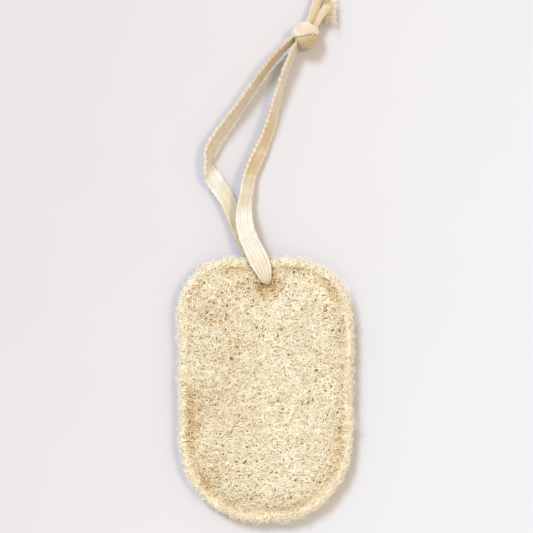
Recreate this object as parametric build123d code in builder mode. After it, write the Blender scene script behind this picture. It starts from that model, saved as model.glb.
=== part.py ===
from build123d import *

import os
from math import cos, pi, radians, sin, tan

# Loofah back scrubber: two pressed loofah layers sewn together round the edge, and a flat cotton tape
# threaded through a hole near the top edge and tied into a hanging loop.
#
# Frame: millimetres. The pad lies flat on z = 0 with its back layer down. +Y runs from the pad's middle
# towards the hanging loop, +X to the right, +Z up out of the surface. The origin is under the pad's middle.

# ---------------------------------------------------------------- driving dimensions
PAD_WIDTH = 100.5
PAD_LENGTH = 150.0
PAD_THICKNESS = 16.0
SEAM_INSET = 6.0
LIP_THICKNESS = 4.0
GROOVE_DEPTH = 1.0

# The sides draw in a little towards the lower end: by this much at the left and at the right.
LEFT_TAPER = 1.7
RIGHT_TAPER = 0.8

# Corner radii, going round from the lower left corner.
CORNER_RADII = [40.0, 45.0, 35.0, 31.0]

TAPE_WIDTH = 10.0
TAPE_THICKNESS = 1.0
THREAD_DIAMETER = 0.6
THREAD_PROUD = 0.1

EYELET_INSET = 15.0
EYELET_DIAMETER = 8.0
DIMPLE_DEPTH = 5.0
DIMPLE_RADIUS = 20.0

KNOT_LENGTH = 16.5
KNOT_DIAMETER = 14.8

# ---------------------------------------------------------------- derived sizes
MID_Z = PAD_THICKNESS / 2
EYELET_Y = PAD_LENGTH / 2 - EYELET_INSET

# One layer's face from the edge inwards: (distance in from the outline, height above the middle plane).
# The lip, the groove that the seam pulls in, then the crown.
LAYER_PROFILE = [
    (0.0, 0.0),
    (0.8, LIP_THICKNESS / 2 - 0.2),
    (4.5, LIP_THICKNESS / 2),
    (SEAM_INSET, LIP_THICKNESS / 2 - GROOVE_DEPTH),
    (8.5, 3.6),
    (12.0, 5.8),
    (17.0, 7.2),
    (24.0, MID_Z),
]

# Where the hole's dimple is cut, the face stands about this high above the middle plane.
FACE_AT_EYELET = 6.9

# The tape's legs over and under the pad: height of each leg's middle, and how far left of +Y it points.
FRONT_LEG_Z = 12.8
BACK_LEG_Z = 0.1 + TAPE_THICKNESS / 2
FRONT_LEG_TURN = 21.0
BACK_LEG_TURN = 38.0
# The front leg leaves the hole lower down, and climbs to its full height over this run.
FRONT_LEG_DROP = 1.6
CLIMB_RUN = 7.0
CLIMB_RADIUS = 8.0
# The tape bunched in the hole, which reaches up into the front leg.
NECK_WIDTH = 7.0
NECK_THICKNESS = 1.4
NECK_TOP_Z = FRONT_LEG_Z - FRONT_LEG_DROP + 0.3
# The legs run this far past the fold line before they are trimmed on it.
TRIM = 1.0

# The loop folds at this line across the pad's top edge. The legs end here, and the loop starts past it.
FOLD_Y = PAD_LENGTH / 2 + 3.0

# A free stretch of tape is a plain round tube with the flat tape's own sectional area.
TUBE_DIAMETER = 2 * (TAPE_WIDTH * TAPE_THICKNESS / pi) ** 0.5

KNOT_CENTRE = (22.2, 202.8, KNOT_DIAMETER / 2 + 0.1)
KNOT_TURN = 36.0

# ---------------------------------------------------------------- routes of the tape's free stretches
FRONT_ROUTE = [
    (-7.3, 79.0, 12.8),
    (-11.6, 88.5, 12.8),
    (-13.3, 99.0, 11.6),
    (-12.2, 111.0, 8.8),
    (-9.9, 124.0, 6.4),
    (-3.4, 138.0, 5.5),
    (1.8, 152.0, 5.4),
    (5.4, 167.0, 5.8),
    (11.0, 184.0, 6.6),
    (18.8, 198.4, 7.3),
]
BACK_ROUTE = [
    (-15.3, 79.6, 1.9),
    (-18.9, 90.0, 2.2),
    (-21.2, 101.0, 3.2),
    (-25.2, 111.5, 4.4),
    (-31.8, 120.5, 5.3),
    (-33.9, 131.0, 5.7),
    (-28.6, 142.8, 5.8),
    (-19.4, 155.4, 5.9),
    (-10.4, 168.2, 6.1),
    (-1.2, 181.9, 6.4),
    (8.0, 192.6, 6.8),
    (15.6, 200.8, 7.1),
]
LEFT_TAIL_ROUTE = [
    (24.6, 208.6, 8.0),
    (26.6, 213.4, 7.2),
    (29.4, 219.8, 6.0),
    (31.4, 226.2, 5.3),
]
RIGHT_TAIL_ROUTE = [
    (28.4, 207.0, 7.6),
    (31.0, 211.6, 6.8),
    (35.2, 215.6, 5.9),
    (40.4, 217.2, 5.3),
]


# ---------------------------------------------------------------- helpers
def outline_corners(inset):
    """Corners of the pad's outline moved in by inset, from the lower left and round anticlockwise."""
    x = PAD_WIDTH / 2 - inset
    y = PAD_LENGTH / 2 - inset
    return [(LEFT_TAPER - x, -y), (x - RIGHT_TAPER, -y), (x, y), (-x, y)]


def corner_radii(inset):
    """The pad's corner radii at that inset."""
    return [radius - inset for radius in CORNER_RADII]


def loofah_layer(side):
    """One pressed layer, crowned away from the middle plane: side is 1 for the front and -1 for the back."""
    with BuildPart() as layer:
        for inset, height in LAYER_PROFILE:
            with BuildSketch(Plane.XY.offset(MID_Z + side * height)):
                with BuildLine():
                    FilletPolyline(*outline_corners(inset), radius=corner_radii(inset), close=True)
                make_face()
        loft(ruled=True)
        # The hollow that the tape pulls into the face round its hole, cut by a large ball.
        ball_radius = (DIMPLE_RADIUS**2 + DIMPLE_DEPTH**2) / (2 * DIMPLE_DEPTH)
        ball_z = MID_Z + side * (FACE_AT_EYELET - DIMPLE_DEPTH + ball_radius)
        with Locations((0, EYELET_Y, ball_z)):
            Sphere(ball_radius, mode=Mode.SUBTRACT)
        with Locations((0, EYELET_Y, MID_Z)):
            Cylinder(EYELET_DIAMETER / 2, 2 * PAD_THICKNESS, mode=Mode.SUBTRACT)
    return layer


def seam_thread(side):
    """One thread of the lockstitch seam, as the closed line that it follows, bedded in its groove."""
    groove_height = LIP_THICKNESS / 2 - GROOVE_DEPTH
    thread_z = MID_Z + side * (groove_height + THREAD_PROUD)
    with BuildPart() as thread:
        with BuildLine(Plane.XY.offset(thread_z)) as seam:
            FilletPolyline(*outline_corners(SEAM_INSET), radius=corner_radii(SEAM_INSET), close=True)
        with BuildSketch(Plane(origin=seam.line @ 0, z_dir=seam.line % 0)):
            Circle(THREAD_DIAMETER / 2)
        sweep(path=seam.line)
    return thread


def leg_plane(turn):
    """Upright plane through the hole: its x runs out along the leg, turn degrees left of +Y, its y is up."""
    out = (-sin(radians(turn)), cos(radians(turn)), 0)
    across = (cos(radians(turn)), sin(radians(turn)), 0)
    return Plane(origin=(0, EYELET_Y, 0), x_dir=out, z_dir=across)


def leg_length(turn):
    """How far a leg reaches past the fold line before it is trimmed there."""
    return (FOLD_Y - EYELET_Y) / cos(radians(turn)) + TAPE_WIDTH / 2 * tan(radians(turn)) + TRIM


def bend_radii(route):
    """Each corner's radius: 0.45 of its shorter run, over the tangent of half the turn."""
    radii = []
    for before, corner, after in zip(route, route[1:], route[2:]):
        run_in = Vector(*corner) - Vector(*before)
        run_out = Vector(*after) - Vector(*corner)
        turn = run_in.get_angle(run_out)
        radii.append(0.45 * min(run_in.length, run_out.length) / tan(radians(turn / 2)))
    return radii


def tape_stretch(name, route):
    """A free stretch of tape as a plain tube along straight runs and tangent arcs. Prints its figures."""
    radii = bend_radii(route)
    with BuildPart() as stretch:
        with BuildLine() as path:
            FilletPolyline(*route, radius=radii)
        with BuildSketch(Plane(origin=path.line @ 0, z_dir=path.line % 0)):
            Circle(TUBE_DIAMETER / 2)
        sweep(path=path.line)
    stretch.part.label = name
    length = path.wire().length
    share = stretch.part.volume / (length * TAPE_WIDTH * TAPE_THICKNESS)
    print(f"{name}: length {length:.1f}, volume {share:.4f} of section times length")
    print("    bend radii " + ", ".join(f"{radius:.1f}" for radius in radii))
    return stretch


# ---------------------------------------------------------------- pad
front_loofah_layer = loofah_layer(1)
front_loofah_layer.part.label = "front_loofah_layer"

back_loofah_layer = loofah_layer(-1)
back_loofah_layer.part.label = "back_loofah_layer"

needle_thread = seam_thread(1)
needle_thread.part.label = "needle_thread"

bobbin_thread = seam_thread(-1)
bobbin_thread.part.label = "bobbin_thread"

# ---------------------------------------------------------------- tape through the eyelet
# The front leg climbs out of the dimple and runs over the lip. The neck is the tape bunched in the hole,
# and the back leg runs out flat under the pad.
with BuildPart() as tape_in_eyelet:
    with BuildSketch(leg_plane(FRONT_LEG_TURN)):
        with BuildLine():
            FilletPolyline(
                (-NECK_THICKNESS / 2, FRONT_LEG_Z - FRONT_LEG_DROP),
                (CLIMB_RUN, FRONT_LEG_Z),
                (leg_length(FRONT_LEG_TURN), FRONT_LEG_Z),
                radius=CLIMB_RADIUS,
            )
        trace(line_width=TAPE_THICKNESS)
    extrude(amount=TAPE_WIDTH / 2, both=True)
    with BuildSketch(leg_plane(BACK_LEG_TURN)):
        with BuildLine():
            Line((-NECK_THICKNESS / 2, BACK_LEG_Z), (leg_length(BACK_LEG_TURN), BACK_LEG_Z))
        trace(line_width=TAPE_THICKNESS)
    extrude(amount=TAPE_WIDTH / 2, both=True)
    with BuildSketch(Plane(origin=(0, EYELET_Y, BACK_LEG_Z))):
        Rectangle(NECK_WIDTH, NECK_THICKNESS, rotation=(FRONT_LEG_TURN + BACK_LEG_TURN) / 2)
    extrude(amount=NECK_TOP_Z - BACK_LEG_Z)
    split(bisect_by=Plane(origin=(0, FOLD_Y, 0), z_dir=(0, 1, 0)), keep=Keep.BOTTOM)
tape_in_eyelet.part.label = "tape_in_eyelet"

# ---------------------------------------------------------------- hanging loop
front_strand = tape_stretch("front_strand", FRONT_ROUTE)
back_strand = tape_stretch("back_strand", BACK_ROUTE)
left_tail = tape_stretch("left_tail", LEFT_TAIL_ROUTE)
right_tail = tape_stretch("right_tail", RIGHT_TAIL_ROUTE)

# The knot as one rounded body: a barrel turned about the line on which the strands run in and the tails out.
KNOT_AXIS = (sin(radians(KNOT_TURN)), cos(radians(KNOT_TURN)), 0)
with BuildPart() as knot:
    with BuildSketch(Plane(origin=KNOT_CENTRE, x_dir=KNOT_AXIS, z_dir=(0, 0, 1))):
        Ellipse(KNOT_LENGTH / 2, KNOT_DIAMETER / 2)
        Rectangle(KNOT_LENGTH, KNOT_DIAMETER, align=(Align.CENTER, Align.MAX), mode=Mode.SUBTRACT)
    revolve(axis=Axis(KNOT_CENTRE, KNOT_AXIS))
knot.part.label = "knot"

# ---------------------------------------------------------------- files
os.makedirs("parts", exist_ok=True)
export_step(front_loofah_layer.part, "parts/front_loofah_layer.step")
export_step(back_loofah_layer.part, "parts/back_loofah_layer.step")
export_step(needle_thread.part, "parts/needle_thread.step")
export_step(bobbin_thread.part, "parts/bobbin_thread.step")
export_step(tape_in_eyelet.part, "parts/tape_in_eyelet.step")
export_step(front_strand.part, "parts/front_strand.step")
export_step(back_strand.part, "parts/back_strand.step")
export_step(knot.part, "parts/knot.step")
export_step(left_tail.part, "parts/left_tail.step")
export_step(right_tail.part, "parts/right_tail.step")
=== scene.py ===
"""Loofah back scrubber, the looks: two pressed loofah layers sewn round the edge, and a herringbone cotton
tape that goes through a hole near the top edge and is tied into a hanging loop.

Metres, in the row frame: the pad lies on z = 0, +Y runs towards the hanging loop and +Z is up.
"""

import math

import bpy
import numpy as np
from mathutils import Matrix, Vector


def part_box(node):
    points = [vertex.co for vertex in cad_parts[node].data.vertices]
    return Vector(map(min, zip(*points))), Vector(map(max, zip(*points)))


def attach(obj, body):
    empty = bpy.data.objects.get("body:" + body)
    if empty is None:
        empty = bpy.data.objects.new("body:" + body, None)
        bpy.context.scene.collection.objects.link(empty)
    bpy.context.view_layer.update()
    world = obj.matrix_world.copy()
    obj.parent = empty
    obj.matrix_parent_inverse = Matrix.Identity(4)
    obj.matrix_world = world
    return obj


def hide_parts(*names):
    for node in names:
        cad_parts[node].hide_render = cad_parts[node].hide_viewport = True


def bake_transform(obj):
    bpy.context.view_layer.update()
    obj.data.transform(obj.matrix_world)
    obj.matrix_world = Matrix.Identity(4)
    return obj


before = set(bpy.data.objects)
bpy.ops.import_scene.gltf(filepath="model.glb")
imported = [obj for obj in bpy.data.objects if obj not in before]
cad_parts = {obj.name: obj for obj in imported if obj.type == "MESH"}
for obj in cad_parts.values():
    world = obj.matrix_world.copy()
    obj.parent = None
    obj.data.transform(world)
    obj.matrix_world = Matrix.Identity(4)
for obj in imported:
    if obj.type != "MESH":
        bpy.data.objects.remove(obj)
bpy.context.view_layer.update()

MM = 0.001

# ---------------------------------------------------------------- sizes read from the frame
PAD_LOW, PAD_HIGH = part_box("front_loofah_layer")
HALF_WIDTH = (PAD_HIGH.x - PAD_LOW.x) / 2
HALF_LENGTH = (PAD_HIGH.y - PAD_LOW.y) / 2
MID_Z = PAD_LOW.z
SPINE_REACH = HALF_LENGTH - 48 * MM
KNOT_LOW, KNOT_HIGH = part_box("knot")
KNOT_MIDDLE = (np.array(KNOT_LOW) + np.array(KNOT_HIGH)) / 2

# ---------------------------------------------------------------- the pad's own sizes
# Corner radii in the four quarters: lower left, lower right, upper right, upper left.
CORNER_RADII = np.array([46.0, 46.0, 35.0, 31.0]) * MM
# How far the left and right sides draw in towards the lower end.
LEFT_TAPER = 1.7 * MM
RIGHT_TAPER = 0.8 * MM
SEAM_INSET = 6 * MM
STITCH_LENGTH = 3.2 * MM
EYELET_Y = 60 * MM
# The tape's hole, which closes in round the gathered tape: its middle and half its width and height.
HOLE_Y = EYELET_Y + 0.9 * MM
HOLE_HALF_WIDTH = 3.2 * MM
HOLE_HALF_HEIGHT = 1.6 * MM
FACE_AT_EYELET = 6.9 * MM
DIMPLE_DEPTH = 5 * MM
DIMPLE_RADIUS = 20 * MM
# How far the solid mat lies below the fibres' mean surface, and its open pores' spacing and depth.
BODY_DEPTH = 0.9 * MM
PORE_STEP = 4.1 * MM
PORE_DEPTH = 1.6 * MM
# How many fibres each mat, the rim and the loose ends round it have.
MAT_FIBRES = 4400
RIM_FIBRES = 4400
WHISKERS = 2600
# One face from the edge inwards: distance in from the outline, then height above the middle plane.
PROFILE_INSET = np.array([0.0, 0.8, 4.3, 6.2, 9.0, 12.5, 17.0, 24.0, 32.0]) * MM
PROFILE_HEIGHT = np.array([0.4, 1.8, 2.3, 1.6, 3.4, 5.2, 6.7, 7.6, 7.9]) * MM

# ---------------------------------------------------------------- the tape's own sizes
TAPE_WIDTH = 10 * MM
TAPE_THICKNESS = 1 * MM
WALE_PITCH = 1.25 * MM
TWILL_PITCH = 1.0 * MM
SELVAGE_PITCH = 3.1 * MM
WEAVE_DEPTH = 0.24 * MM
# No fibre or thread runs lower than this over the table.
LOWEST_THREAD = 0.3 * MM

# ---------------------------------------------------------------- the knot's own sizes
KNOT_SHIFT = np.array([0.2, -0.7, 0.0]) * MM
# Which way its long axis points, and its half sizes in millimetres along that axis, across it and upwards.
KNOT_TURN = math.radians(36)
KNOT_RADII = (8.3, 7.3, 7.2)

# ---------------------------------------------------------------- routes of the tape, in millimetres
FRONT_LEG = [
    (0.6, 60.0, 7.8),
    (0.7, 60.3, 10.4),
    (-0.1, 63.8, 12.0),
    (-2.4, 71.0, 12.9),
]
FRONT_ROUTE = [
    (-6.4, 79.4, 12.8),
    (-10.9, 88.7, 12.8),
    (-12.8, 99.0, 11.6),
    (-11.4, 111.0, 8.8),
    (-9.2, 124.0, 6.4),
    (-2.4, 138.0, 5.5),
    (3.0, 152.0, 5.6),
    (6.6, 167.0, 5.9),
    (11.6, 184.0, 6.6),
    (17.6, 197.4, 7.3),
    (20.8, 201.4, 7.5),
]
BACK_LEG = [
    (0.3, 59.4, 8.0),
    (-0.2, 60.2, 4.0),
    (-3.2, 65.2, 1.3),
    (-7.0, 73.0, 1.3),
]
BACK_ROUTE = [
    (-10.6, 80.4, 2.1),
    (-15.2, 90.5, 2.8),
    (-18.8, 101.0, 3.6),
    (-23.4, 111.5, 4.4),
    (-30.6, 120.5, 5.3),
    (-33.9, 131.0, 5.7),
    (-28.6, 142.8, 5.8),
    (-19.4, 155.4, 5.9),
    (-10.4, 168.2, 6.1),
    (-1.2, 181.9, 6.4),
    (7.2, 191.9, 6.8),
    (14.6, 199.6, 7.1),
    (19.6, 203.2, 7.3),
]
LEFT_TAIL_ROUTE = [
    (23.6, 205.6, 8.2),
    (25.6, 210.6, 8.0),
    (28.2, 217.4, 6.6),
    (31.0, 226.2, 5.3),
]
RIGHT_TAIL_ROUTE = [
    (26.8, 204.8, 8.4),
    (29.4, 210.8, 7.8),
    (32.8, 216.4, 6.4),
    (36.0, 221.4, 5.4),
]


# ---------------------------------------------------------------- mesh helpers
def link(piece):
    """Puts an object into the scene."""
    bpy.context.scene.collection.objects.link(piece)
    return piece


def mesh_piece(name, points, faces, attributes=None):
    """A smooth mesh object from an array of points and arrays of faces, each array with its own face size."""
    mesh = bpy.data.meshes.new(name)
    points = np.asarray(points, np.float32).reshape(-1, 3)
    groups = [np.asarray(group, np.int32) for group in faces]
    corners = np.concatenate([group.ravel() for group in groups])
    totals = np.concatenate([np.full(len(group), group.shape[1], np.int32) for group in groups])
    starts = np.concatenate([[0], np.cumsum(totals)[:-1]]).astype(np.int32)
    mesh.vertices.add(len(points))
    mesh.vertices.foreach_set("co", points.ravel())
    mesh.loops.add(len(corners))
    mesh.loops.foreach_set("vertex_index", corners)
    mesh.polygons.add(len(starts))
    mesh.polygons.foreach_set("loop_start", starts)
    mesh.polygons.foreach_set("use_smooth", np.ones(len(starts), bool))
    for key, values in (attributes or {}).items():
        layer = mesh.attributes.new(key, "FLOAT", "POINT")
        layer.data.foreach_set("value", np.asarray(values, np.float32).ravel())
    mesh.update(calc_edges=True)
    return link(bpy.data.objects.new(name, mesh))


def unit(vectors):
    """Vectors at length 1."""
    return vectors / np.maximum(np.linalg.norm(vectors, axis=-1, keepdims=True), 1e-12)


def grid_faces(rows, columns, wrap):
    """Quads of a grid of points, row after row. With wrap, each row is a closed ring."""
    i = np.arange(rows - 1)[:, None]
    j = np.arange(columns if wrap else columns - 1)[None, :]
    k = (j + 1) % columns
    return np.stack([i * columns + j, i * columns + k, (i + 1) * columns + k, (i + 1) * columns + j], -1).reshape(-1, 4)


def lumps(x, y, size, seed):
    """Smooth noise from -1 to 1 whose lumps are about that size."""
    rng = np.random.default_rng(seed)
    table = rng.uniform(-1, 1, (64, 64))
    u, v = np.asarray(x) / size + 31.7, np.asarray(y) / size + 17.3
    iu, iv = np.floor(u).astype(int), np.floor(v).astype(int)
    fu, fv = u - iu, v - iv
    fu, fv = fu * fu * (3 - 2 * fu), fv * fv * (3 - 2 * fv)
    iu, iv, ju, jv = iu % 64, iv % 64, (iu + 1) % 64, (iv + 1) % 64
    low = table[iu, iv] * (1 - fu) + table[ju, iv] * fu
    high = table[iu, jv] * (1 - fu) + table[ju, jv] * fu
    return low * (1 - fv) + high * fv


def smooth_step(value):
    """0 below 0, 1 above 1 and smooth between."""
    value = np.clip(value, 0, 1)
    return value * value * (3 - 2 * value)


def tubes(name, paths, radii, sides=4, attributes=None):
    """Many thin closed tubes as one mesh: paths is (count, points, 3) and radii (count, points)."""
    paths = np.concatenate([paths[..., :2], np.maximum(paths[..., 2:], LOWEST_THREAD)], axis=-1)
    count, steps = paths.shape[:2]
    along = unit(np.gradient(paths, axis=1))
    across = np.cross(along, (0.0, 0.0, 1.0))
    across = unit(np.where(np.linalg.norm(across, axis=-1, keepdims=True) > 0.05, across, (1.0, 0.0, 0.0)))
    up = unit(np.cross(across, along))
    turn = 2 * math.pi * (np.arange(sides) + 0.5) / sides
    ring = np.cos(turn)[:, None] * across[:, :, None, :] + np.sin(turn)[:, None] * up[:, :, None, :]
    points = paths[:, :, None, :] + radii[:, :, None, None] * ring
    side_faces = grid_faces(steps, sides, True)
    first = np.arange(sides)[None, ::-1]
    last = first[:, ::-1] + (steps - 1) * sides
    offsets = (np.arange(count) * steps * sides)[:, None, None]
    walls = (side_faces[None] + offsets).reshape(-1, 4)[:, ::-1]
    caps = (np.concatenate([first, last])[None] + offsets).reshape(-1, sides)[:, ::-1]
    spread = {key: np.repeat(values.reshape(count, -1) * np.ones((1, steps)), sides, axis=1)
              for key, values in (attributes or {}).items()}
    return mesh_piece(name, points, [walls, caps], spread)


# ---------------------------------------------------------------- camera, floor and lights
PICTURE_MIDDLE = (0.4 * MM, 70.4 * MM)
PICTURE_WIDTH = 303.8 * MM
CAMERA_HEIGHT = 0.75


def aim(piece, target):
    """Turns a light or camera to look at a point."""
    piece.rotation_euler = (Vector(target) - piece.location).to_track_quat("-Z", "Y").to_euler()


def add_camera():
    """Straight down over the object, with +Y up in the picture."""
    data = bpy.data.cameras.new("camera")
    data.sensor_width = 36
    data.lens = data.sensor_width * (CAMERA_HEIGHT - MID_Z) / PICTURE_WIDTH
    camera = link(bpy.data.objects.new("camera", data))
    camera.location = (*PICTURE_MIDDLE, CAMERA_HEIGHT)
    bpy.context.scene.camera = camera


def add_light(name, place, strength, spread, colour):
    """Far soft light that comes from that place, with soft edges to its shadows."""
    data = bpy.data.lights.new(name, "SUN")
    data.energy, data.angle, data.color = strength, math.radians(spread), colour
    light = link(bpy.data.objects.new(name, data))
    light.location = place
    aim(light, (0, 0, 0))


def add_world(colour, strength):
    """Even light from all round."""
    world = bpy.data.worlds.new("studio")
    world.use_nodes = True
    background = world.node_tree.nodes["Background"]
    background.inputs["Color"].default_value = (*colour, 1)
    background.inputs["Strength"].default_value = strength
    bpy.context.scene.world = world


# ---------------------------------------------------------------- materials
class Shader:
    """A material's node tree, with short calls for the nodes that these materials use."""

    def __init__(self, name, roughness, **settings):
        self.material = bpy.data.materials.new(name)
        self.material.use_nodes = True
        self.tree = self.material.node_tree
        self.surface = self.tree.nodes["Principled BSDF"]
        self.surface.inputs["Roughness"].default_value = roughness
        for key, value in settings.items():
            self.surface.inputs[key.replace("_", " ")].default_value = value

    def node(self, kind, links=None, **settings):
        """A node with its inputs linked or set, and its own settings."""
        made = self.tree.nodes.new(kind)
        for key, value in settings.items():
            setattr(made, key, value)
        for key, value in (links or {}).items():
            socket = made.inputs[key]
            if isinstance(value, bpy.types.NodeSocket):
                self.tree.links.new(value, socket)
            else:
                socket.default_value = value
        return made

    def read(self, name):
        """A number stored on the mesh."""
        return self.node("ShaderNodeAttribute", attribute_name=name).outputs["Fac"]

    def place(self):
        """Position on the object at rest, in metres."""
        return self.node("ShaderNodeTexCoord").outputs["Object"]

    def maths(self, operation, a, b=0.0):
        """One operation on two numbers."""
        return self.node("ShaderNodeMath", {0: a, 1: b}, operation=operation).outputs[0]

    def noise(self, vector, size, detail=2.0):
        """Noise from 0 to 1 whose lumps are about that size."""
        return self.node("ShaderNodeTexNoise", {"Vector": vector, "Scale": 1 / size, "Detail": detail}).outputs["Fac"]

    def ramp(self, value, *stops):
        """A colour ramp through (position, colour) stops."""
        made = self.node("ShaderNodeValToRGB", {"Fac": value})
        points = made.color_ramp.elements
        while len(points) < len(stops):
            points.new(0.5)
        for point, (position, colour) in zip(points, stops):
            point.position = position
            point.color = (*colour, 1)
        return made.outputs["Color"]

    def mix(self, share, a, b):
        """Two colours mixed by share."""
        made = self.node("ShaderNodeMix", data_type="RGBA")
        for socket, value in zip((made.inputs[0], made.inputs[6], made.inputs[7]), (share, a, b)):
            if isinstance(value, bpy.types.NodeSocket):
                self.tree.links.new(value, socket)
            else:
                socket.default_value = value if isinstance(value, float) else (*value, 1)
        return made.outputs[2]

    def finish(self, colour, height=None, depth=0.0):
        """Links the colour and a bump of that depth in metres, and returns the material."""
        self.tree.links.new(colour, self.surface.inputs["Base Color"])
        if height is not None:
            bump = self.node("ShaderNodeBump", {"Strength": 1.0, "Distance": depth, "Height": height})
            self.tree.links.new(bump.outputs["Normal"], self.surface.inputs["Normal"])
        return self.material


def loofah_body_material():
    """The deep part of the mat, seen between the fibres: tan with coarse matted lumps, its own colour darkened to paint
    the shade between the fibres, and nearly black in the open pores, painted shade.
    """
    s = Shader("loofah_body", 0.9)
    fine = s.noise(s.place(), 0.7 * MM, 3.0)
    colour = s.ramp(fine, (0.28, (0.40, 0.27, 0.11)), (0.45, (0.64, 0.50, 0.26)), (0.7, (0.82, 0.70, 0.45)))
    colour = s.mix(s.read("brown_and_shade"), colour, s.ramp(fine, (0.3, (0.20, 0.11, 0.035)), (0.7, (0.52, 0.34, 0.13))))
    # The open pores: nearly black, painted shade in the holes.
    colour = s.mix(s.read("pore"), colour, (0.13, 0.08, 0.03))
    return s.finish(colour, fine, 0.5 * MM)


def loofah_fibre_material():
    """Cream fibres, each with its own shade, darker in the deep mats as painted shade, browner in the seam's groove,
    down the left side and round the hole, where the brown is painted shade, with fine lengthwise grain.
    """
    s = Shader("loofah_fibre", 0.62)
    patch = s.noise(s.place(), 9 * MM, 2.0)
    fine = s.noise(s.place(), 0.5 * MM, 2.0)
    shade = s.maths("ADD", s.maths("MULTIPLY", s.read("shade"), 0.75), s.maths("MULTIPLY", patch, 0.35))
    cream = s.ramp(shade, (0.1, (0.60, 0.465, 0.25)), (0.45, (0.815, 0.715, 0.49)), (0.9, (0.885, 0.83, 0.655)))
    cream = s.mix(s.maths("MULTIPLY", fine, 0.30), cream, (0.93, 0.885, 0.765))
    brown = s.ramp(shade, (0.0, (0.16, 0.08, 0.025)), (0.2, (0.42, 0.25, 0.085)), (0.9, (0.76, 0.53, 0.23)))
    colour = s.mix(s.read("brown_and_shade"), cream, brown)
    return s.finish(colour, fine, 0.12 * MM)


def cotton_material():
    """Unbleached herringbone cotton with fine yarns and slight fuzz: paler on the raised weave and wales and darker
    between them, painted light and shade, and tan where the tape's tan values paint shade.
    """
    s = Shader("cotton_tape", 0.85, Sheen_Weight=0.2, Sheen_Roughness=0.6)
    along, across = s.read("along"), s.read("across")
    yarns = s.maths("SINE", s.maths("MULTIPLY", s.maths("ADD", along, across), 2 * math.pi / (0.36 * MM)))
    picks = s.maths("SINE", s.maths("MULTIPLY", s.maths("SUBTRACT", along, across), 2 * math.pi / (0.47 * MM)))
    weave = s.maths("MULTIPLY", s.maths("ADD", s.maths("MULTIPLY", yarns, picks), 1.0), 0.5)
    fuzz = s.noise(s.place(), 0.35 * MM, 3.0)
    patch = s.noise(s.place(), 7 * MM, 2.0)
    # The weave and rib terms paint the raised cotton paler, painted light and shade; the patch is its own uneven tone.
    tone = s.maths("ADD", s.maths("MULTIPLY", weave, 0.16), s.maths("MULTIPLY", patch, 0.34))
    tone = s.maths("ADD", tone, s.maths("MULTIPLY", s.read("rib"), 0.52))
    cream = s.ramp(tone, (0.15, (0.50, 0.42, 0.29)), (0.45, (0.72, 0.66, 0.54)), (0.8, (0.84, 0.82, 0.765)))
    tan = s.ramp(tone, (0.15, (0.36, 0.24, 0.10)), (0.45, (0.60, 0.44, 0.23)), (0.8, (0.80, 0.68, 0.48)))
    colour = s.mix(s.read("tan"), cream, tan)
    height = s.maths("ADD", s.maths("MULTIPLY", weave, 0.6), s.maths("MULTIPLY", fuzz, 0.4))
    return s.finish(colour, height, 0.12 * MM)


def frayed_material():
    """Loose cotton threads: tan at the tape and whitish at their tips."""
    s = Shader("frayed_cotton", 0.85, Sheen_Weight=0.3, Sheen_Roughness=0.6)
    fine = s.noise(s.place(), 0.6 * MM, 2.0)
    tone = s.maths("ADD", s.read("shade"), s.maths("MULTIPLY", fine, 0.25))
    colour = s.ramp(tone, (0.2, (0.52, 0.36, 0.16)), (0.6, (0.78, 0.66, 0.44)), (1.0, (0.93, 0.89, 0.82)))
    return s.finish(colour, fine, 0.08 * MM)


def sewing_thread_material():
    """Off-white two-ply sewing thread, darker in the grooves between its plies as painted shade."""
    s = Shader("sewing_thread", 0.55, Sheen_Weight=0.2)
    twist = s.maths("ADD", s.maths("MULTIPLY", s.read("along"), 2 * math.pi / (0.7 * MM)), s.read("turn"))
    twist = s.maths("SINE", twist)
    twist = s.maths("MULTIPLY", s.maths("ADD", twist, 1.0), 0.5)
    # Darker in the grooves of the twist: painted shade.
    colour = s.ramp(twist, (0.0, (0.62, 0.52, 0.33)), (1.0, (0.90, 0.84, 0.68)))
    return s.finish(colour, twist, 0.08 * MM)


def floor_material():
    """Pale paper, darker towards the upper left and lighter towards the right, painted light."""
    s = Shader("pale_floor", 0.9)
    split = s.node("ShaderNodeSeparateXYZ", {"Vector": s.place()})
    # The tone rises to the right and falls towards the upper left: a painted fall-off of the light.
    across = s.maths("SUBTRACT", split.outputs["X"], s.maths("MULTIPLY", split.outputs["Y"], 0.35))
    tone = s.maths("ADD", s.maths("MULTIPLY", across, 3.0), s.maths("MULTIPLY", s.noise(s.place(), 60 * MM, 2.0), 0.2))
    tone = s.maths("ADD", tone, 0.45)
    colour = s.ramp(tone, (0.0, (0.540, 0.516, 0.511)), (0.3, (0.574, 0.546, 0.544)), (1.0, (0.596, 0.592, 0.600)))
    return s.finish(colour)


# ---------------------------------------------------------------- tape
def smooth_line(name, route):
    """Points along the smooth curve whose control points are the route's."""
    curve = bpy.data.curves.new(name, "CURVE")
    curve.dimensions = "3D"
    curve.resolution_u = 24
    spline = curve.splines.new("NURBS")
    spline.points.add(len(route) - 1)
    for point, place in zip(spline.points, route):
        point.co = (*(value * MM for value in place), 1)
    spline.order_u = 3
    spline.use_endpoint_u = True
    guide = link(bpy.data.objects.new(name, curve))
    mesh = bpy.data.meshes.new_from_object(guide)
    points = np.array([vertex.co for vertex in mesh.vertices])
    bpy.data.objects.remove(guide)
    bpy.data.meshes.remove(mesh)
    return points


def spaced(points, step):
    """The line's points again, evenly spaced, and each one's distance along it."""
    gaps = np.linalg.norm(np.diff(points, axis=0), axis=1)
    travelled = np.concatenate([[0], np.cumsum(gaps)])
    count = int(round(travelled[-1] / step)) + 1
    wanted = np.linspace(0, travelled[-1], count)
    return np.stack([np.interp(wanted, travelled, points[:, axis]) for axis in range(3)], 1), wanted


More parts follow.
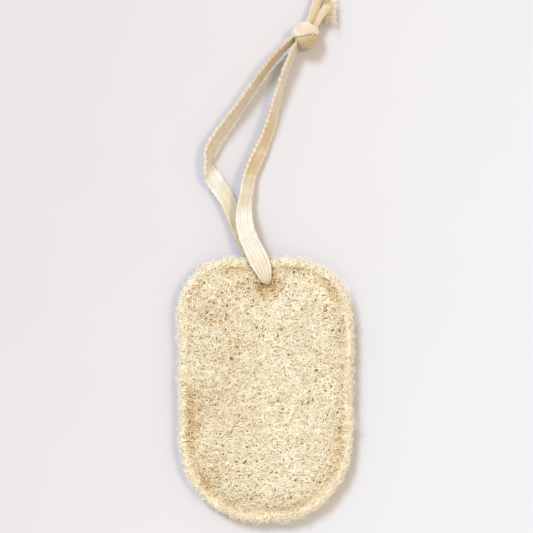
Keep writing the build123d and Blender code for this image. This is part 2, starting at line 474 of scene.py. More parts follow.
def weave_height(along, across):
    """Herringbone relief from 0 to 1: lengthwise wales, with twill lines that lean the other way in each next one."""
    place = across / WALE_PITCH
    wale = np.abs(np.cos(math.pi * place)) ** 0.6
    way = np.where(np.floor(place + 0.5) % 2 == 0, 1, -1)
    twill = np.abs(np.cos(math.pi * (along + way * across) / TWILL_PITCH))
    return wale * (0.62 + 0.38 * twill)


def ribbon(name, points, along, lean, width, pleat=0.0, cup=0.0, tan=0.0, scallop=1.0, seed=0):
    """A length of tape along a line. lean is the angle in degrees by which its left edge rises, width its width,
    pleat the depth of its lengthwise folds, cup how far its edges curl down, tan how much painted shade darkens its
    cotton and scallop how far the loops of its edges stand out, each one value or one a row."""
    rows = len(points)
    columns = 49
    tangent = unit(np.gradient(points, axis=0))
    left = unit(np.cross((0.0, 0.0, 1.0), tangent))
    up = unit(np.cross(tangent, left))
    waver = lumps(along, np.zeros(rows) + seed * MM, 2.4 * MM, 31 + seed)
    angle = np.radians(lean + 5 * waver)[:, None]
    across = np.cos(angle) * left + np.sin(angle) * up
    normal = np.cross(tangent, across)
    # Columns lie closer together towards the edges, where the looped selvages are.
    even = np.linspace(-1, 1, columns)[None]
    share = 0.45 * even + 0.55 * np.sin(math.pi / 2 * even)
    half = np.broadcast_to(width, rows)[:, None] / 2
    pleat, cup = np.broadcast_to(pleat, rows)[:, None], np.broadcast_to(cup, rows)[:, None]
    flat_offset = TAPE_WIDTH / 2 * share
    # The selvages: loops that stand out, most of all along the raised left edge, over a round bead.
    beat = along[:, None] / SELVAGE_PITCH + 0.22 * waver[:, None] + 0.25 * np.sign(share)
    raised = np.where(share > 0, 1.0, 0.4)
    loop = np.broadcast_to(scallop, rows)[:, None] * raised * np.abs(np.sin(math.pi * beat)) ** 0.8
    edge = np.abs(share) ** 9
    offset = half * share + np.sign(share) * edge * (0.50 * MM * loop - 0.15 * MM + 0.2 * MM * waver[:, None])
    body = np.sqrt(np.clip(1 - np.abs(share) ** 12, 0.0, 1.0))
    bead_radius = (0.48 + 0.26 * loop) * MM
    from_bead = TAPE_WIDTH / 2 * (1 - np.abs(share)) - bead_radius
    bead = np.sqrt(np.clip(bead_radius ** 2 - from_bead ** 2, 0, None))
    thick = np.maximum((TAPE_THICKNESS - WEAVE_DEPTH) / 2 * body, bead)
    relief = WEAVE_DEPTH * weave_height(along[:, None], flat_offset) * body
    fold = pleat * np.cos(math.pi * 5.0 * share) * (1 - 0.5 * share ** 2) - cup * share ** 2
    # Over the top from the right edge to the left, and back underneath.
    rings, ribs = [], []
    for side, order in ((1, slice(None)), (-1, slice(None, None, -1))):
        height = fold + side * (thick + relief)
        place = points[:, None] + offset[:, :, None] * across[:, None] + height[:, :, None] * normal[:, None]
        rings.append(place[:, order])
        # rib paints the cotton paler where the weave and the bead stand up: painted light and shade of the relief.
        ribs.append((relief / WEAVE_DEPTH + 0.45 * bead / MM)[:, order])
    ring = np.concatenate(rings, axis=1)
    # The tan is painted shade: the given tan darkens faces turned from the light, the pleats' valleys and the hollows
    # between the wales darken more, and the raised beads stay lighter, a painted highlight.
    valley = 0.5 - 0.5 * np.cos(math.pi * 5.0 * share) * np.sign(pleat + 1e-9)
    shade = np.broadcast_to(tan, rows)[:, None] * (1 - 0.6 * np.clip(1.4 * bead / MM, 0, 1))
    shade = shade * (1 + 0.25 * waver[:, None]) + 1.1 * pleat / (0.34 * MM) * valley ** 2
    shade = shade + 0.35 * (1 - relief / WEAVE_DEPTH) * (1 - np.clip(bead / MM, 0, 1))
    stored = np.concatenate([flat_offset, flat_offset[:, ::-1]], axis=1) * np.ones((rows, 1))
    distance = np.repeat(along[:, None], 2 * columns, axis=1)
    walls = grid_faces(rows, 2 * columns, True)[:, ::-1]
    j = np.arange(columns - 1)
    start = np.stack([j, j + 1, 2 * columns - 2 - j, 2 * columns - 1 - j], -1)
    end = start[:, ::-1] + (rows - 1) * 2 * columns
    values = {"along": distance, "across": stored, "rib": np.clip(np.concatenate(ribs, axis=1), 0, 1.3),
              "tan": np.clip(np.concatenate([shade, shade[:, ::-1]], axis=1), 0, 1)}
    piece = mesh_piece(name, ring, [walls, np.concatenate([start, end])], values)
    piece.data.materials.append(COTTON)
    return piece


def along_route(table, y):
    """Values given at places along Y, read off at each row."""
    places, values = zip(*table)
    return np.interp(y, np.array(places) * MM, values)


# ---------------------------------------------------------------- the pad's shape
def inset(x, y):
    """Distance in from the pad's outline, negative outside it."""
    # The sides' taper is undone, and the rest is a rectangle with four corner radii.
    low = y < 0
    x = x / (1 - np.where(x < 0, LEFT_TAPER, RIGHT_TAPER) / HALF_WIDTH * (0.5 - y / (2 * HALF_LENGTH)))
    radius = np.where(low, np.where(x < 0, CORNER_RADII[0], CORNER_RADII[1]),
                      np.where(x < 0, CORNER_RADII[3], CORNER_RADII[2]))
    qx = np.abs(x) - (HALF_WIDTH - radius)
    qy = np.abs(y) - (HALF_LENGTH - radius)
    outside = np.hypot(np.maximum(qx, 0), np.maximum(qy, 0))
    straight = radius - outside - np.minimum(np.maximum(qx, qy), 0)
    # Within 5 mm of the edge it wavers, and is worn back least at the left and most at the right.
    ragged = 0.55 * MM * lumps(x, y, 9 * MM, 61) + 0.30 * MM * lumps(x, y, 3 * MM, 62)
    worn = (0.75 + 0.45 * np.clip(x / HALF_WIDTH, -1, 1)) * MM
    return straight + (ragged - worn) * np.clip(1 - straight / (5 * MM), 0, 1)


def face_height(x, y, side):
    """Height of one face above the middle plane, before its fibres."""
    # The profile, with its corners rounded off.
    table = np.linspace(0, 40 * MM, 401)
    raw = np.interp(table, PROFILE_INSET, PROFILE_HEIGHT)
    blur = np.exp(-((np.arange(-12, 13) * 0.1 / 0.5) ** 2))
    smooth = np.convolve(np.pad(raw, 12, mode="edge"), blur / blur.sum(), mode="valid")
    d = inset(x, y)
    height = np.interp(d, table, smooth)
    grown = np.clip((d - SEAM_INSET) / (10 * MM), 0, 1)
    height = height + grown * (0.35 * MM * lumps(x, y, 13 * MM, 3 + side) + 0.25 * MM * lumps(x, y, 5 * MM, 9 + side))
    # The dimple round the hole, blended in.
    reach = np.hypot(x, y - EYELET_Y)
    hollow = (FACE_AT_EYELET - DIMPLE_DEPTH) + DIMPLE_DEPTH * (reach / DIMPLE_RADIUS) ** 2
    gap = 1.2 * MM
    share = np.clip(0.5 + 0.5 * (hollow - height) / gap, 0, 1)
    return hollow * (1 - share) + height * share - gap * share * (1 - share)


def outline_point(turn, d):
    """Points on the outline moved in by d, at angles round the pad as seen from its long middle line."""
    spine = np.clip(HALF_LENGTH * np.sin(turn) * 1.6, -SPINE_REACH, SPINE_REACH)
    direction = np.stack([np.cos(turn), np.sin(turn)], -1)
    low, high = np.zeros_like(turn), np.full_like(turn, 120 * MM)
    for _ in range(40):
        middle = (low + high) / 2
        inside = inset(direction[..., 0] * middle, spine + direction[..., 1] * middle) > d
        low, high = np.where(inside, middle, low), np.where(inside, high, middle)
    return direction[..., 0] * low, spine + direction[..., 1] * low


def loofah_layer(side):
    """One layer's closed body: its crowned face with open pores, its thin lip and its flat side on the middle
    plane, with the tape's hole cut through it."""
    around = 720
    turn = np.linspace(0, 2 * math.pi, around, endpoint=False) - math.pi / 2
    insets = np.concatenate([np.linspace(0.15, 12, 18), np.linspace(12.65, 47, 54)]) * MM
    rings, pits, brown_and_shade_rows = [], [], []
    for d in insets:
        x, y = outline_point(turn, np.full(around, d))
        pit = smooth_step(in_pore(x, y, side, 0.25 * MM))
        rings.append(np.stack([x, y, MID_Z + side * (face_height(x, y, side) - BODY_DEPTH - PORE_DEPTH * pit)], -1))
        pits.append(pit)
        brown_and_shade_rows.append(brown_and_shade(x, y, side))
    flat = []
    for d in insets[::6]:
        x, y = outline_point(turn, np.full(around, d))
        flat.append(np.stack([x, y, np.full(around, MID_Z + side * 0.01 * MM)], -1))
    ring = np.array(flat[::-1] + rings)
    rows = len(ring)
    walls = grid_faces(rows, around, True)
    # Both ends of the form are closed by strips from side to side, with a triangle at each tip.
    half = around // 2
    j = np.arange(2, half)
    lid = np.stack([j - 1, j, around - j, around - j + 1], -1)
    tips = np.array([[0, 1, around - 1], [half - 1, half, half + 1]])
    faces = [walls]
    for group in (lid, tips):
        faces += [group[:, ::-1], group + (rows - 1) * around]
    name = "front_loofah_body" if side > 0 else "back_loofah_body"
    plain = np.zeros((len(flat), around))
    values = {"pore": np.concatenate([plain, np.array(pits)]), "brown_and_shade": np.concatenate([plain, np.array(brown_and_shade_rows)])}
    piece = mesh_piece(name, ring, [group[:, ::side] for group in faces], values)
    cut_hole(piece)
    piece.data.materials.clear()
    piece.data.materials.append(LOOFAH_BODY)
    for polygon in piece.data.polygons:
        polygon.use_smooth, polygon.material_index = True, 0
    return piece


def cut_hole(piece):
    """Cuts the tape's hole, whose wall is uneven where fibres were pushed aside."""
    turn = np.linspace(0, 2 * math.pi, 72, endpoint=False)
    levels = np.linspace(-2, 18, 30) * MM
    uneven = 1 + 0.12 * lumps(turn[None] * 3 * MM, levels[:, None], 2 * MM, 91)
    uneven[:, -1] = uneven[:, 0] = (uneven[:, 1] + uneven[:, -2]) / 2
    wall = np.stack([HOLE_HALF_WIDTH * uneven * np.cos(turn), HOLE_Y + HOLE_HALF_HEIGHT * uneven * np.sin(turn),
                     levels[:, None] + 0 * turn], -1)
    caps = np.stack([np.arange(72)[::-1], np.arange(72) + 29 * 72])
    cutter = mesh_piece(piece.name + "_cutter", wall, [grid_faces(30, 72, True), caps])
    modifier = piece.modifiers.new("hole", "BOOLEAN")
    modifier.operation, modifier.object, modifier.solver = "DIFFERENCE", cutter, "MANIFOLD"
    shaped = bpy.data.meshes.new_from_object(piece.evaluated_get(bpy.context.evaluated_depsgraph_get()))
    piece.modifiers.clear()
    bare, piece.data = piece.data, shaped
    bpy.data.meshes.remove(bare)
    tool = cutter.data
    bpy.data.objects.remove(cutter)
    bpy.data.meshes.remove(tool)


# ---------------------------------------------------------------- loofah fibres
def tape_clearance(x, y):
    """Distance from the middle line of the tape's leg over the front face."""
    leg = np.array([place[:2] for place in FRONT_LEG + FRONT_ROUTE[:2]]) * MM
    nearest = np.full(np.shape(x), 1.0)
    for start, end in zip(leg, leg[1:]):
        run = end - start
        share = np.clip(((x - start[0]) * run[0] + (y - start[1]) * run[1]) / (run @ run), 0, 1)
        nearest = np.minimum(nearest, np.hypot(x - start[0] - share * run[0], y - start[1] - share * run[1]))
    return nearest


def brown_and_shade(x, y, side):
    """How brown the mat is, from 0 to 1: in the seam's groove and down the left side, and round the hole, where the
    brown is painted shade of the dimple.
    """
    d = inset(x, y)
    patch = np.clip(0.5 + 0.8 * lumps(x, y, 12 * MM, 21 + side), 0, 1)
    groove = np.exp(-(((d - 6.3 * MM) / (2.6 * MM)) ** 2)) * (0.30 + 0.70 * patch)
    # Round the hole the brown is painted shade, where the tape pulls the mat into a dimple.
    hole = np.exp(-((x / (8.5 * MM)) ** 2) - (((y - EYELET_Y + 1 * MM) / (5.5 * MM)) ** 2))
    left = smooth_step(0.15 - 1.05 * x / HALF_WIDTH) * (0.15 + 0.22 * patch)
    return np.clip(0.62 * groove + 1.1 * hole + left + 0.06 * patch + 2 * dark_spot(x, y), 0, 1)


def dark_spot(x, y):
    """From 0 to 1 in the one small dark spot at the pad's left edge."""
    return np.exp(-(((x + 47.3 * MM) / (1.0 * MM)) ** 2) - (((y - 4.2 * MM) / (1.9 * MM)) ** 2))


def pores(side):
    """Middles and radii of the open pores in one face, on a loosened grid."""
    rng = np.random.default_rng(70 + side)
    x, y = np.meshgrid(np.arange(-HALF_WIDTH, HALF_WIDTH, PORE_STEP), np.arange(-HALF_LENGTH, HALF_LENGTH, PORE_STEP))
    x = x.ravel() + rng.uniform(-0.48, 0.48, x.size) * PORE_STEP
    y = y.ravel() + rng.uniform(-0.48, 0.48, y.size) * PORE_STEP
    radius = 0.17 * MM + rng.gamma(1.6, 0.09, x.size) * MM
    kept = inset(x, y) > 7.5 * MM
    return x[kept], y[kept], radius[kept]


def in_pore(x, y, side, grow=0.0):
    """For each point, how deep inside a pore it is: above 0 in the pore and 1 at its middle."""
    deepest = np.zeros(np.shape(x))
    for px, py, radius in zip(*pores(side)):
        deepest = np.maximum(deepest, 1 - np.hypot(x - px, y - py) / (radius + grow))
    return deepest


def fibre_paths(count, steps, side, seed, lift, dive, reach):
    """Curved paths over one face: each starts below the surface, arches over its neighbours and dives in."""
    rng = np.random.default_rng(seed)
    # More than are wanted, because the ones that leave the face, the pores or the hole are dropped.
    tries = int(count * 2.1)
    x = rng.uniform(-HALF_WIDTH, HALF_WIDTH, tries)
    y = rng.uniform(-HALF_LENGTH, HALF_LENGTH, tries)
    length = rng.uniform(*reach, tries) * MM
    level = rng.random(tries) < 0.35
    heading = np.where(level, rng.normal(0, 0.5, tries), rng.uniform(0, 2 * math.pi, tries))
    curl = rng.normal(0, 1, tries) * rng.choice([0.15, 0.35, 0.7], tries, p=[0.35, 0.4, 0.25]) / MM
    wander = rng.normal(0, 0.35, (tries, steps))
    rise = rng.uniform(*lift, tries) * MM
    wave = rng.uniform(0, 2 * math.pi, tries)
    step = length / (steps - 1)
    turned = heading[:, None] + curl[:, None] * step[:, None] * np.arange(steps) + wander
    px = x[:, None] + np.cumsum(np.cos(turned) * step[:, None], 1)
    py = y[:, None] + np.cumsum(np.sin(turned) * step[:, None], 1)
    share = np.linspace(-1, 1, steps)[None]
    sink = dive * MM * share ** 6
    ripple = 0.18 * MM * np.sin(wave[:, None] + np.arange(steps) * 1.7)
    height = face_height(px, py, side) + rise[:, None] + ripple - sink
    d = inset(px, py)
    kept = (d.min(1) > 0.5 * MM) & (np.hypot(px / (2.9 * MM), (py - HOLE_Y) / (1.0 * MM)).min(1) > 1)
    kept &= (in_pore(px, py, side).max(1) == 0)
    kept &= (in_pore((px[:, 1:] + px[:, :-1]) / 2, (py[:, 1:] + py[:, :-1]) / 2, side).max(1) == 0)
    if side > 0:
        under_tape = (tape_clearance(px, py) < 5.6 * MM) & (py > 58 * MM)
        height = np.where(under_tape, np.minimum(height, tape_floor(py)), height)
    paths = np.stack([px, py, MID_Z + side * height], -1)[kept][:count]
    return paths, rng


def tape_floor(y):
    """Highest that a fibre may stand above the middle plane under the tape's leg."""
    leg = np.array(FRONT_LEG + FRONT_ROUTE[:1]) * MM
    return np.interp(y, leg[:, 1], leg[:, 2]) - MID_Z - 1.1 * MM


def fibre_mat(name, side, count, seed, lift, dive, reach, shades, thick):
    """One mat of cream fibres on a face."""
    paths, rng = fibre_paths(count, 6, side, seed, lift, dive, reach)
    count = len(paths)
    radius = rng.uniform(*thick, count)[:, None] * MM * np.array([0.65, 1.0, 1.0, 1.0, 1.0, 0.65])[None]
    middle = paths[:, 3]
    # Each fibre's shade is random within its mat's range; the deeper mats' darker ranges are painted shade.
    shade = rng.uniform(*shades, count) * (1 - dark_spot(middle[:, 0], middle[:, 1]))
    brown = brown_and_shade(middle[:, 0], middle[:, 1], side) * rng.uniform(0.5, 1.25, count)
    piece = tubes(name, paths, radius, 4, {"shade": shade, "brown_and_shade": np.clip(brown, 0, 1)})
    piece.data.materials.append(LOOFAH_FIBRE)
    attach(piece, "pad")
    return piece


def outline_places(share, d):
    """Points on the outline moved in by d, at shares of the way round it, and the outline's length."""
    turn = np.linspace(-math.pi / 2, 1.5 * math.pi, 1441)
    x, y = outline_point(turn, np.zeros_like(turn))
    run = np.concatenate([[0], np.cumsum(np.hypot(np.diff(x), np.diff(y)))])
    at = np.mod(share, 1.0) * run[-1]
    px, py = np.interp(at, run, x), np.interp(at, run, y)
    tx, ty = np.gradient(x, run), np.gradient(y, run)
    ox, oy = np.interp(at, run, ty), np.interp(at, run, -tx)
    size = np.hypot(ox, oy)
    ox, oy = ox / size, oy / size
    return px - ox * d, py - oy * d, run[-1]


def rim_fibres(name, count, seed):
    """Fibres matted round the cut edge: each runs along the rim while it turns over from one face to the other."""
    rng = np.random.default_rng(seed)
    steps = 6
    share = rng.random(count)
    length = rng.normal(0, 2.6, count) * MM
    start = rng.uniform(-0.95, 0.95, count) * math.pi / 2
    spin = rng.normal(0, 1.9, count)
    around = outline_places(np.zeros(1), 0.0)[2]
    t = np.linspace(-0.5, 0.5, steps)[None]
    roll = np.clip(start[:, None] + spin[:, None] * t, -1.62, 1.62)
    bulge = rng.uniform(-0.5, 0.35, count)[:, None] * MM + 0.25 * MM * np.cos(2 * math.pi * t)
    lip = 1.9 * MM
    inward = rng.gamma(1.4, 1.3, count)[:, None] * MM * np.sin(roll) ** 2 * (0.5 + t)
    d = 2.3 * MM - (2.3 * MM + bulge) * np.cos(roll) + inward
    curl = rng.normal(0, 1.8, count)[:, None] * MM * np.cos(math.pi * t)
    px, py, _ = outline_places(share[:, None] + (length[:, None] * t + curl) / around, d)
    paths = np.stack([px, py, MID_Z + (lip + bulge) * np.sin(roll)], -1)
    radius = rng.uniform(0.17, 0.28, count)[:, None] * MM * np.array([0.6, 1, 1, 1, 1, 0.6])[None]
    brown = rng.uniform(0.0, 0.3, count)
    piece = tubes(name, paths, radius, 4, {"shade": rng.uniform(0.35, 1.0, count), "brown_and_shade": brown})
    piece.data.materials.append(LOOFAH_FIBRE)
    return piece


def whiskers(name, count, seed):
    """Cut fibre ends that stick out of the rim."""
    rng = np.random.default_rng(seed)
    steps = 5
    share = rng.random(count)
    around = outline_places(np.zeros(1), 0.0)[2]
    reach = rng.gamma(2.2, 0.42, count)[:, None] * MM
    t = np.linspace(0, 1, steps)[None]
    lean = rng.normal(0, 0.9, count)[:, None]
    curl = rng.normal(0, 0.8, count)[:, None]
    out = -1.2 * MM + (reach + 1.2 * MM) * np.sin(t * math.pi / 2 * (1 + 0.2 * curl))
    along = (reach + 0.8 * MM) * (lean * t + curl * t * t)
    px, py, _ = outline_places(share[:, None] + along / around, -out)
    rise = rng.uniform(-1.5, 1.7, count)[:, None] * MM + rng.normal(0, 0.5, count)[:, None] * MM * t
    paths = np.stack([px, py, MID_Z + rise], -1)
    radius = rng.uniform(0.09, 0.19, count)[:, None] * MM * np.array([1.0, 1.0, 0.9, 0.75, 0.5])[None]
    piece = tubes(name, paths, radius, 4, {"shade": rng.uniform(0.6, 1.0, count), "brown_and_shade": rng.uniform(0, 0.15, count)})
    piece.data.materials.append(LOOFAH_FIBRE)
    return piece


def seam_thread(name, side):
    """One thread of the lockstitch seam: it lies in the groove and dips into the mat after every stitch."""
    around = outline_places(np.zeros(1), 0.0)[2]
    stitches = int(round(0.93 * around / STITCH_LENGTH))
    steps = stitches * 8
    share = np.arange(steps) / steps
    px, py, _ = outline_places(share, SEAM_INSET + 0.12 * MM * np.sin(share * steps))
    dip = np.abs(np.sin(math.pi * share * stitches)) ** 0.5
    pz = MID_Z + side * (0.35 + 0.95 * dip) * MM
    path = np.stack([px, py, pz], -1)
    along = unit(np.roll(path, -1, 0) - np.roll(path, 1, 0))
    across = unit(np.cross(along, (0.0, 0.0, 1.0)))
    up = np.cross(across, along)
    sides = 8
    turn = 2 * math.pi * np.arange(sides) / sides
    ring = np.cos(turn)[:, None] * across[:, None] + np.sin(turn)[:, None] * up[:, None]
    points = path[:, None] + 0.3 * MM * ring
    faces = grid_faces(steps + 1, sides, True)[:, ::-1] % (steps * sides)
    travelled = np.repeat(share[:, None] * around, sides, 1)
    piece = mesh_piece(name, points, [faces], {"along": travelled, "turn": np.tile(turn, (steps, 1))})
    piece.data.materials.append(SEWING_THREAD)
    return piece


def build_rim():
    """The rim's fibres and both threads of the seam."""
    rim = rim_fibres("rim_fibres", RIM_FIBRES, 41)
    ends = whiskers("rim_whiskers", WHISKERS, 42)
    needle = seam_thread("needle_stitches", 1)
    bobbin = seam_thread("bobbin_stitches", -1)
    for piece, node in ((needle, "needle_thread"), (bobbin, "bobbin_thread")):
        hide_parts(node)
    for piece in (rim, ends, needle, bobbin):
        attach(piece, "pad")


def build_mats():
    """Three mats of fibre on each face, from a deep one, painted darker as shade, to a light one on top."""
    levels = (("deep", 100, (-0.75, -0.35), 0.5, (4, 8), (0.15, 0.7), (0.20, 0.30)),
              ("middle", 200, (-0.45, -0.05), 0.8, (2.6, 6), (0.3, 0.95), (0.19, 0.28)),
              ("top", 300, (-0.2, 0.15), 1.0, (2.0, 4.8), (0.4, 1.0), (0.17, 0.26)))
    for side, face in ((1, "front"), (-1, "back")):
        for level, seed, lift, dive, reach, shades, thick in levels:
            fibre_mat(f"{face}_{level}_fibres", side, MAT_FIBRES, seed + side, lift, dive, reach, shades, thick)


# ---------------------------------------------------------------- build
LOOFAH_BODY = loofah_body_material()
LOOFAH_FIBRE = loofah_fibre_material()
COTTON = cotton_material()
FRAYED = frayed_material()
SEWING_THREAD = sewing_thread_material()


def build_stage():
    """The floor, the camera and the lights."""
    bpy.ops.mesh.primitive_plane_add(size=6, location=(0, 0, 0))
    floor = bpy.context.object
    floor.name = "floor"
    floor.data.materials.append(floor_material())
    add_camera()
    add_light("window_light", (-0.44, 0.66, 0.87), 2.85, 16, (0.66, 0.79, 1.0))
    add_light("lamp_light", (0.50, 0.12, 0.95), 1.00, 12, (1.0, 0.83, 0.58))
    add_world((1.0, 0.94, 0.86), 0.80)
    bpy.context.scene.view_settings.view_transform = "Standard"


def build_tape():
    """Both strands of the loop, from the middle of the hole to the knot, each with the line that it follows. The
    tables give values at places along Y in millimetres."""
    strands = {}
    for name, leg, route in (("front_tape", FRONT_LEG, FRONT_ROUTE), ("back_tape", BACK_LEG, BACK_ROUTE)):
        line = smooth_line(name + "_line", leg + route)
        points, along = spaced(line, 0.26 * MM)
        y = points[:, 1]
        if name == "front_tape":
            lean = along_route([(59, 0), (72, -5), (92, -10), (98, 4), (103, 36), (110, 46), (117, 47), (131, 43),
                                (142, 50), (159, 62), (175, 71), (186, 75), (205, 74)], y)
            width = TAPE_WIDTH * along_route([(59, 0.46), (61.5, 0.56), (65, 0.86), (69, 1.06), (74, 1.16), (81, 1.12),
                                              (90, 1.04), (98, 1.0), (185, 1.0), (200, 0.7)], y)
            pleat = MM * along_route([(59, 0.34), (68, 0.28), (78, 0.16), (90, 0.0)], y)
            cup = MM * along_route([(59, 1.6), (64, 1.0), (76, 0.3), (90, 0.0)], y)
            # tan is painted shade: darker where the tape dips into the hole and where its face turns away from the
            # light.
            tan = along_route([(59, 0.6), (63, 0.35), (70, 0.12), (80, 0.0), (100, 0.05), (106, 0.35), (120, 0.4),
                               (127, 0.9), (150, 0.85), (160, 0.5), (180, 0.35), (205, 0.45)], y)
        else:
            lean = along_route([(59, 0), (74, 5), (84, 24), (98, 30), (108, 26), (112, 5), (117, -16), (121, 10),
                                (125, 55), (130, 72), (134, 58), (138, 46), (148, 53), (159, 61), (170, 67),
                                (180, 71), (205, 73)], y)
            width = TAPE_WIDTH * along_route([(59, 0.6), (66, 0.9), (76, 1.0), (188, 1.0), (200, 0.7)], y)
            pleat = MM * along_route([(59, 0.3), (66, 0.2), (72, 0.0)], y)
            cup = MM * along_route([(59, -2.0), (64, -0.8), (72, 0.0)], y)
            # tan is painted shade: darker where the face turns away from the light, most near the knot, and nil where
            # it turns to the light.
            tan = along_route([(59, 0.3), (76, 0.6), (100, 0.7), (111, 0.3), (116, 0.0), (124, 0.1), (132, 0.35),
                               (170, 0.4), (182, 0.75), (205, 1.0)], y)
        scallop = along_route([(59, 0.2), (98, 0.35), (118, 1.0), (130, 1.5), (180, 1.5), (205, 1.0)], y)
        piece = ribbon(name, points, along, lean, width, pleat, cup, tan, scallop, len(strands))
        strands[name] = (piece, line)
    return strands


def knot_ball():
    """The tied knot as one closed mesh: an over turn whose ribs fan out from the upper left, an under turn below it
    with ribs that run down to the right, a cross turn on the underside, and hollows where the tape goes in and
    out."""
    rows, columns = 210, 420
    first = np.array([math.cos(KNOT_TURN), math.sin(KNOT_TURN), 0.0])
    second = np.array([-math.sin(KNOT_TURN), math.cos(KNOT_TURN), 0.0])
    theta = np.linspace(0.01, math.pi - 0.01, rows)[:, None]
    phi = np.linspace(0, 2 * math.pi, columns, endpoint=False)[None]
    parts = (np.cos(theta) + 0 * phi, np.sin(theta) * np.cos(phi), np.sin(theta) * np.sin(phi))
    base = 1 / np.sqrt(sum((part / radius) ** 2 for part, radius in zip(parts, KNOT_RADII)))
    direction = parts[0][..., None] * first + parts[1][..., None] * second + parts[2][..., None] * np.array([0, 0, 1.0])
    px, py, pz = (base[..., None] * direction).transpose(2, 0, 1)
    # All in millimetres from the knot's middle. over is above 0 on the over turn, cross on the cross turn.
    seam = 0.5 * lumps(px * MM, pz * MM, 5 * MM, 81)
    over = (py - 0.10 * px + 0.09 * pz + 0.8 + seam) / 1.0
    cross = 4.6 - np.abs(0.72 * px + 0.52 * py - 0.46 * pz - 1.0)
    over_share = smooth_step(over / 0.5 + 0.5)
    cross_share = smooth_step(cross / 0.5 + 0.5) * smooth_step(-pz / 1.5)
    turn = np.arctan2(px + 7.0, 8.6 - py)
    reach = np.hypot(px + 7.0, 8.6 - py)
    fan_twill = np.abs(np.cos(math.pi * (reach + 7 * turn) / 1.2))
    fan = np.abs(np.cos(math.pi * turn / 0.112)) ** 0.8 * (0.7 + 0.3 * fan_twill)
    down, side = 0.60 * px - 0.80 * py, 0.80 * px + 0.60 * py
    hatch_twill = np.abs(np.cos(math.pi * (down + 0.5 * side) / 1.5))
    hatch = np.abs(np.cos(math.pi * side / 1.35)) ** 0.8 * (0.45 + 0.55 * hatch_twill)
    rib = fan * over_share + hatch * (1 - over_share)
    # tone dims the ribs of the under turn: painted shade where the knot turns away from the light.
    tone = fan * over_share + 0.68 * hatch * (1 - over_share)
    height = 0.55 * smooth_step(over / 1.6 + 0.2) * over_share - 0.8 * np.exp(-((over / 0.55) ** 2)) * (1 - over_share)
    height = height + 0.6 * cross_share * smooth_step(cross / 1.4) + 0.35 * lumps(px * MM, (py + pz) * MM, 4 * MM, 82)
    # Hollows where the tape goes in or out: direction, width in radians and depth in millimetres.
    for place, size, depth in (((-0.80, -0.58, 0.10), 0.36, 2.6), ((-0.35, -0.93, -0.1), 0.18, 1.0),
                               ((0.62, 0.78, 0.05), 0.42, 1.4), ((-0.98, -0.05, -0.2), 0.2, 0.9)):
        angle = np.arccos(np.clip(direction @ unit(np.array(place)), -1, 1))
        height = height - depth * np.exp(-((angle / size) ** 2))
    height = height - 0.25 + 0.42 * rib
    points = KNOT_MIDDLE + KNOT_SHIFT + (0.97 * base + height)[..., None] * direction * MM
    walls = grid_faces(rows, columns, True)[:, ::-1]
    caps = np.stack([np.arange(columns), np.arange(columns)[::-1] + (rows - 1) * columns])
    # tan darkens the under turn and the hollows between the ribs: painted shade.
    values = {"along": reach * MM, "across": turn * 12 * MM, "rib": tone,
              "tan": np.clip(0.40 + 0.28 * (1 - over_share) + 0.8 * (1 - rib) ** 1.5, 0, 1)}
    piece = mesh_piece("tied_knot", points, [walls, caps], values)
    piece.data.materials.append(COTTON)
    return piece


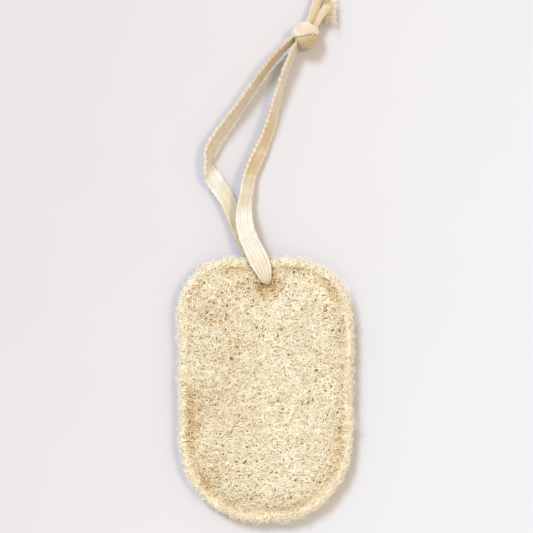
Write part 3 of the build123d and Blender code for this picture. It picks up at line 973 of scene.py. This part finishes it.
def frayed_threads(name, middle, direction, width, count, reach, seed):
    """Loose threads at a cut end of tape: they start across its width and spread out as they go."""
    rng = np.random.default_rng(seed)
    steps = 9
    heading = unit(np.array(direction, float))
    sideways = unit(np.cross((0.0, 0.0, 1.0), heading))
    t = np.linspace(0, 1, steps)[None, :, None]
    place = rng.uniform(-0.5, 0.5, count)[:, None, None]
    length = rng.uniform(*reach, count)[:, None, None] * MM
    fan = (0.9 * place + rng.normal(0, 0.28, (count, 1, 1)))
    hook = rng.normal(0, 0.55, (count, 1, 1))
    lift = rng.normal(0.0, 0.25, (count, 1, 1))
    start = np.array(middle) * MM + place * width * MM * sideways - 1.5 * MM * heading
    paths = start + length * t * heading + length * (fan * t + hook * t ** 2.5) * sideways
    height = length * (lift * t - 0.18 * t ** 2) + rng.uniform(-0.5, 0.5, (count, 1, 1)) * MM
    paths = paths + height * np.array([0, 0, 1.0])
    radius = rng.uniform(0.10, 0.19, count)[:, None] * MM * np.linspace(1.0, 0.7, steps)[None]
    shade = rng.uniform(0.0, 0.35, (count, 1)) + 0.6 * np.linspace(0, 1, steps)[None] ** 2.5
    piece = tubes(name, paths, radius, 6, {"shade": shade})
    piece.data.materials.append(FRAYED)
    return piece


def build_knot():
    """The overhand knot, both tails and their frayed ends, all of which ride on the loop."""
    knot = knot_ball()
    tails = []
    for name, route, widths, cup, lean in (("left_tape_end", LEFT_TAIL_ROUTE, (4.2, 5.4, 5.8), 1.5, 10.0),
                                           ("right_tape_end", RIGHT_TAIL_ROUTE, (3.4, 5.0, 6.0), 1.2, -22.0)):
        points, along = spaced(smooth_line(name + "_line", route), 0.26 * MM)
        width = np.interp(along / along[-1], [0.2, 0.6, 1.0], widths) * MM
        tails.append(ribbon(name, points, along, lean, width, 0.15 * MM, cup * MM, 0.9, 0.4, len(tails) + 4))
    frays = [
        frayed_threads("left_frayed_end", (30.8, 225.4, 5.3), (0.30, 0.95, 0.0), 6.0, 60, (2.2, 5.0), 51),
        frayed_threads("right_frayed_end", (35.4, 218.9, 5.6), (0.95, 0.02, 0.0), 6.5, 170, (3.0, 7.0), 52),
        frayed_threads("right_loose_threads", (34.2, 215.6, 6.2), (0.97, -0.30, 0.0), 4.0, 60, (2.5, 7.5), 53),
    ]
    for piece in [knot] + tails + frays:
        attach(piece, "hanging_loop")
    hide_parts("knot")
    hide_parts("left_tail")
    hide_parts("right_tail")
    return [knot] + tails + frays


build_stage()
strands = build_tape()
knot_pieces = build_knot()

front_body = loofah_layer(1)
back_body = loofah_layer(-1)

build_mats()
build_rim()
for piece in (front_body, back_body):
    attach(piece, "pad")
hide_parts("front_loofah_layer")
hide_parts("back_loofah_layer")
front_tape, back_tape = strands["front_tape"][0], strands["back_tape"][0]
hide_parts("front_strand", "tape_in_eyelet")
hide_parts("back_strand")
for piece in (front_tape, back_tape):
    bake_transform(piece)
